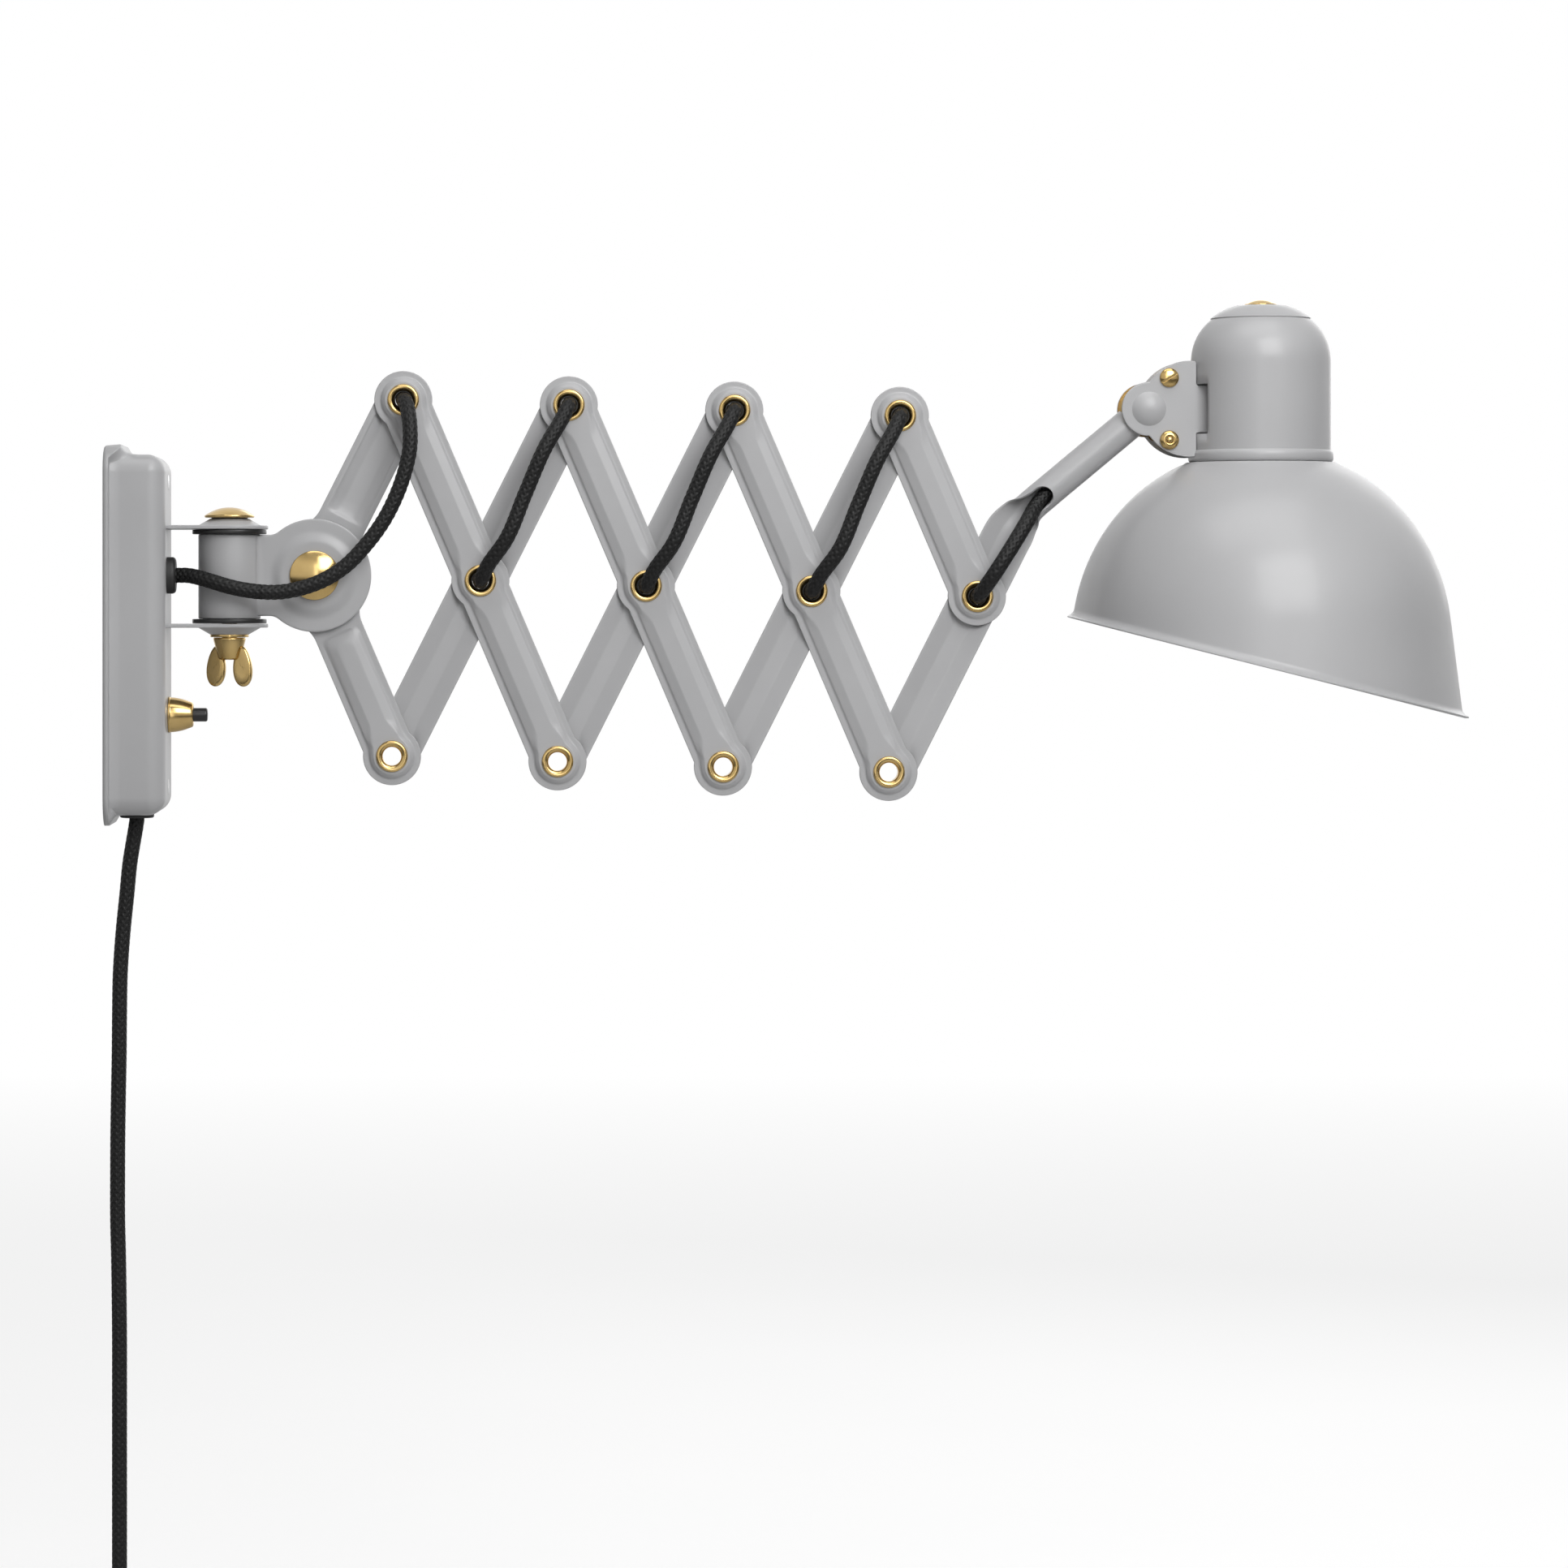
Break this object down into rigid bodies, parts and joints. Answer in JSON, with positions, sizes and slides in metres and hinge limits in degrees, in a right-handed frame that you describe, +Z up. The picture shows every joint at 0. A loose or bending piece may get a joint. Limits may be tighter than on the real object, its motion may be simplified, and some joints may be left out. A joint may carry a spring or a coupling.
{
  "type": "adjustable wall lamp",
  "caption": "Wall lamp on a scissor arm: pressed housing with push switch and braided cord, swivel barrel with wing nut, pressed links with eyelets, tilting dome shade on a ball clamp",
  "frame": {"origin": "middle of the housing's back, on the wall", "axes": "X out from the wall along the arm, Y away from the viewer of the picture, Z up"},
  "size_m": [0.7132, 0.2112, 0.8589],
  "materials": {
    "grey_paint": "satin",
    "brass": "polished",
    "steel": "plain",
    "black_rubber": "matte",
    "black_plastic": "matte",
    "ceramic": "glazed",
    "black_braid": "braided"
  },
  "bodies": {
    "housing": {"cover": "grey_paint", "wall_bracket": "steel", "cover_screws": "steel", "yoke": "grey_paint", "yoke_screws": "steel", "lead_grommet": "black_rubber", "tail_grommet": "black_rubber", "switch_bezel": "brass", "switch_body": "black_plastic", "terminal_block": "ceramic", "terminal_screws": "brass", "inner_wires": "black_rubber", "pivot_bolt": "brass", "pivot_washers": "black_plastic", "lead_cord": "black_braid", "tail_cord": "black_braid", "cord_coil": "black_braid", "plug": "black_rubber"},
    "button": {"switch_button": "black_plastic"},
    "wing": {"wing_nut": "brass"},
    "swivel": {"knuckle": "grey_paint", "swivel_bushes": "black_plastic", "base_bolt": "brass", "base_nut": "brass", "friction_washers": "black_plastic"},
    "upper_half": {"upper_half_link": "grey_paint"},
    "lower_half": {"lower_half_link": "grey_paint", "eyelets_0": "brass"},
    "front_1": {"front_link_1": "grey_paint", "eyelets_1": "brass", "rear_cord_1": "black_braid"},
    "rear_1": {"rear_link_1": "grey_paint", "front_cord_1": "black_braid"},
    "front_2": {"front_link_2": "grey_paint", "eyelets_2": "brass", "rear_cord_2": "black_braid"},
    "rear_2": {"rear_link_2": "grey_paint", "front_cord_2": "black_braid"},
    "front_3": {"front_link_3": "grey_paint", "eyelets_3": "brass", "rear_cord_3": "black_braid"},
    "rear_3": {"rear_link_3": "grey_paint", "front_cord_3": "black_braid"},
    "front_4": {"front_half_link": "grey_paint", "eyelets_4": "brass", "rear_cord_4": "black_braid"},
    "arm": {"lamp_arm": "grey_paint", "arm_cord": "black_braid", "cord_sleeve": "black_rubber"},
    "ball": {"ball_stud": "steel"},
    "head": {"clamp_plates": "grey_paint", "clamp_liners": "brass", "clamp_screws": "brass", "clamp_nuts": "brass", "neck_shell": "grey_paint", "neck_cap": "grey_paint", "top_nut": "brass", "lampholder": "ceramic", "shade": "grey_paint", "head_wires": "black_rubber"}
  },
  "joints": [
    {"name": "button_press", "type": "slide", "parent": "housing", "child": "button", "axis": [-1, 0, 0], "range_m": [0, 0.003], "stiffness_N_per_m": 300, "springref_m": -0.002},
    {"name": "wing_turn", "type": "hinge", "parent": "housing", "child": "wing", "pos_m": [0.0638, 0, -0.008], "axis": [0, 0, 1], "range_deg": [-180, 180]},
    {"name": "swivel_turn", "type": "hinge", "parent": "housing", "child": "swivel", "pos_m": [0.0638, 0, 0.0305], "axis": [0, 0, 1], "range_deg": [-80, 80], "deforming": ["lead_cord"]},
    {"name": "arm_pitch", "type": "hinge", "parent": "swivel", "child": "upper_half", "pos_m": [0.1087, 0, 0.0311], "axis": [0, 1, 0], "range_deg": [-25, 13], "deforming": ["lead_cord"]},
    {"name": "scissor", "type": "hinge", "parent": "upper_half", "child": "front_1", "pos_m": [0.15515, 0, 0.12326], "axis": [0, 1, 0], "range_deg": [-74, 24]},
    {"name": "lower_half_turn", "type": "hinge", "parent": "upper_half", "child": "lower_half", "pos_m": [0.1087, 0, 0.0311], "axis": [0, 1, 0], "range_deg": [-77, 27]},
    {"name": "mid_1_turn", "type": "hinge", "parent": "front_1", "child": "rear_1", "pos_m": [0.19566, 0, 0.02834], "axis": [0, 1, 0], "range_deg": [-27, 77]},
    {"name": "top_2_turn", "type": "hinge", "parent": "rear_1", "child": "front_2", "pos_m": [0.24211, 0, 0.12049], "axis": [0, 1, 0], "range_deg": [-77, 27]},
    {"name": "mid_2_turn", "type": "hinge", "parent": "front_2", "child": "rear_2", "pos_m": [0.28261, 0, 0.02557], "axis": [0, 1, 0], "range_deg": [-27, 77]},
    {"name": "top_3_turn", "type": "hinge", "parent": "rear_2", "child": "front_3", "pos_m": [0.32906, 0, 0.11773], "axis": [0, 1, 0], "range_deg": [-77, 27]},
    {"name": "mid_3_turn", "type": "hinge", "parent": "front_3", "child": "rear_3", "pos_m": [0.36957, 0, 0.02281], "axis": [0, 1, 0], "range_deg": [-27, 77]},
    {"name": "top_4_turn", "type": "hinge", "parent": "rear_3", "child": "front_4", "pos_m": [0.41602, 0, 0.11497], "axis": [0, 1, 0], "range_deg": [-77, 27]},
    {"name": "mid_4_turn", "type": "hinge", "parent": "front_4", "child": "arm", "pos_m": [0.45652, 0, 0.02005], "axis": [0, 1, 0], "range_deg": [-27, 77]},
    {"name": "ball_twist", "type": "hinge", "parent": "arm", "child": "ball", "pos_m": [0.54559, 0, 0.11823], "axis": [0.7683, 0, 0.6401], "range_deg": [-90, 90]},
    {"name": "head_tilt", "type": "hinge", "parent": "ball", "child": "head", "pos_m": [0.54559, 0, 0.11823], "axis": [0, -1, 0], "range_deg": [-8, 80]}
  ],
  "couplings": [
    {"joint": "lower_half_turn", "follows": "scissor", "ratio": 1},
    {"joint": "mid_1_turn", "follows": "scissor", "ratio": -1},
    {"joint": "top_2_turn", "follows": "scissor", "ratio": 1},
    {"joint": "mid_2_turn", "follows": "scissor", "ratio": -1},
    {"joint": "top_3_turn", "follows": "scissor", "ratio": 1},
    {"joint": "mid_3_turn", "follows": "scissor", "ratio": -1},
    {"joint": "top_4_turn", "follows": "scissor", "ratio": 1},
    {"joint": "mid_4_turn", "follows": "scissor", "ratio": -1}
  ]
}
